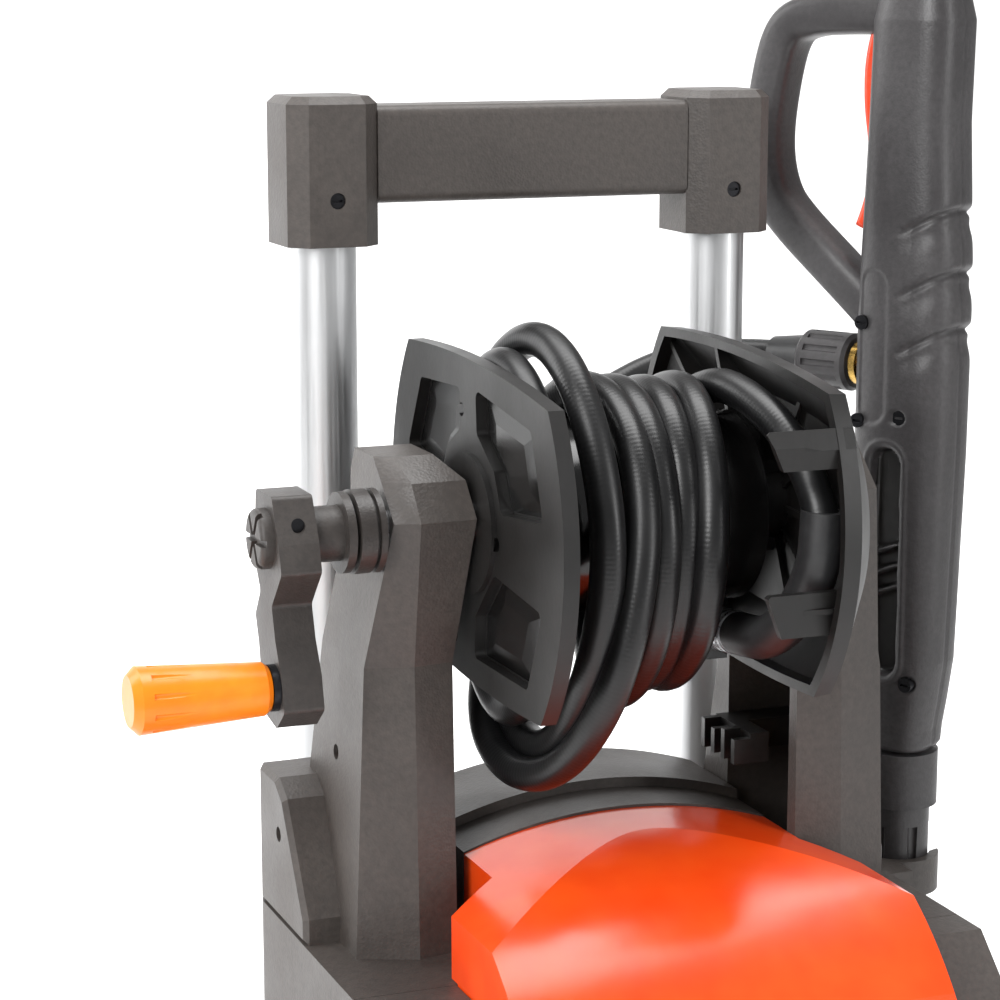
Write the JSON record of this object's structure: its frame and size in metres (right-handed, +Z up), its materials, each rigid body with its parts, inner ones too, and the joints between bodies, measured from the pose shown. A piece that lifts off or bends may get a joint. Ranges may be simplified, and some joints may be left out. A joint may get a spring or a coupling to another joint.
{
  "type": "pressure washer",
  "caption": "Upright electric pressure washer on two wheels, with a cranked hose reel between two stands, a telescopic handle and a trigger gun in its holder.",
  "frame": {"origin": "on the floor under the middle of the machine's box, measured without the hose", "axes": "+X to the machine's right as seen from the front, along the reel's axis, -Y to the front, +Z up"},
  "size_m": [0.3916, 0.35, 0.756],
  "materials": {
    "dark_plastic": "grained",
    "flange_plastic": "semi-gloss",
    "orange_gloss": "gloss",
    "grip_orange": "satin",
    "trigger_orange": "satin",
    "gun_plastic": "grained",
    "knob_plastic": "satin",
    "hose_rubber": "satin",
    "foot_rubber": "matt",
    "tyre_rubber": "matt",
    "rim_plastic": "satin",
    "aluminium_tube": "satin anodised",
    "cast_aluminium": "cast",
    "brass": "turned",
    "steel": "zinc plated"
  },
  "bodies": {
    "root": {"chassis": "dark_plastic", "front_feet": "foot_rubber", "axle": "steel", "rear_housing": "dark_plastic", "tube_collars": "dark_plastic", "cable_gland": "dark_plastic", "water_inlet": "brass", "top_shroud": "dark_plastic", "front_cover": "orange_gloss", "switch_bezel": "knob_plastic", "power_switch": "knob_plastic", "side_panels": "dark_plastic", "motor_housing": "cast_aluminium", "stator": "steel", "pump_block": "cast_aluminium", "pump_head": "cast_aluminium", "feed_pipe": "steel", "left_stand": "dark_plastic", "right_stand": "dark_plastic", "swivel_block": "brass", "accessory_clip": "dark_plastic", "gun_holders": "dark_plastic", "hose_loose": "hose_rubber", "hose_tail": "hose_rubber"},
    "right_wheel": {"right_tyre": "tyre_rubber", "right_wheel_rim": "rim_plastic"},
    "left_wheel": {"left_tyre": "tyre_rubber", "left_wheel_rim": "rim_plastic"},
    "knob": {"switch_knob": "knob_plastic"},
    "rotor": {"motor_rotor": "steel", "cooling_fan": "knob_plastic"},
    "reel": {"left_flange": "flange_plastic", "right_flange": "flange_plastic", "drum": "flange_plastic", "reel_shaft": "steel", "reel_fasteners": "steel", "hose_lead": "hose_rubber", "hose_sleeve": "hose_rubber", "hose_ferrule": "steel", "hose_wound": "hose_rubber", "crank_arm": "dark_plastic", "crank_collar": "dark_plastic", "crank_cap": "dark_plastic", "grip_pin": "steel"},
    "grip": {"crank_grip": "grip_orange"},
    "handle": {"handle_tubes": "aluminium_tube", "corner_blocks": "dark_plastic", "corner_screws": "steel", "crossbar": "dark_plastic"},
    "gun": {"gun_shell_left": "gun_plastic", "gun_shell_right": "gun_plastic", "gun_fasteners": "steel", "gun_valve": "brass", "gun_inlet": "brass", "hose_nut": "gun_plastic", "hose_guard": "hose_rubber", "lance_sleeve": "gun_plastic", "lance_tube": "steel", "nozzle": "gun_plastic"},
    "trigger": {"gun_trigger": "trigger_orange"}
  },
  "joints": [
    {"name": "reel_spin", "type": "hinge", "parent": "root", "child": "reel", "pos_m": [0, -0.02, 0.5625], "axis": [1, 0, 0], "continuous": true},
    {"name": "grip_spin", "type": "hinge", "parent": "reel", "child": "grip", "pos_m": [-0.1704, -0.028, 0.5095], "axis": [1, 0, 0], "continuous": true},
    {"name": "handle_slide", "type": "slide", "parent": "root", "child": "handle", "axis": [0, 0, 1], "range_m": [0, 0.235]},
    {"name": "right_wheel_spin", "type": "hinge", "parent": "root", "child": "right_wheel", "pos_m": [0.1425, 0.085, 0.09], "axis": [1, 0, 0], "continuous": true},
    {"name": "left_wheel_spin", "type": "hinge", "parent": "root", "child": "left_wheel", "pos_m": [-0.1425, 0.085, 0.09], "axis": [1, 0, 0], "continuous": true},
    {"name": "knob_turn", "type": "hinge", "parent": "root", "child": "knob", "pos_m": [0, -0.165, 0.25], "axis": [0, 1, 0], "range_deg": [0, 90]},
    {"name": "motor_spin", "type": "hinge", "parent": "root", "child": "rotor", "pos_m": [0, -0.005, 0.21], "axis": [0, 0, 1], "continuous": true},
    {"name": "gun_lift", "type": "slide", "parent": "root", "child": "gun", "axis": [0, 0, 1], "range_m": [0, 0.12], "deforming": ["hose_tail", "hose_loose"]},
    {"name": "trigger_pull", "type": "hinge", "parent": "gun", "child": "trigger", "pos_m": [0.1673, 0.07246, 0.722], "axis": [-0.866, -0.5, 0], "range_deg": [0, 10], "stiffness_Nm_per_rad": 0.6, "springref_deg": -5.73}
  ]
}
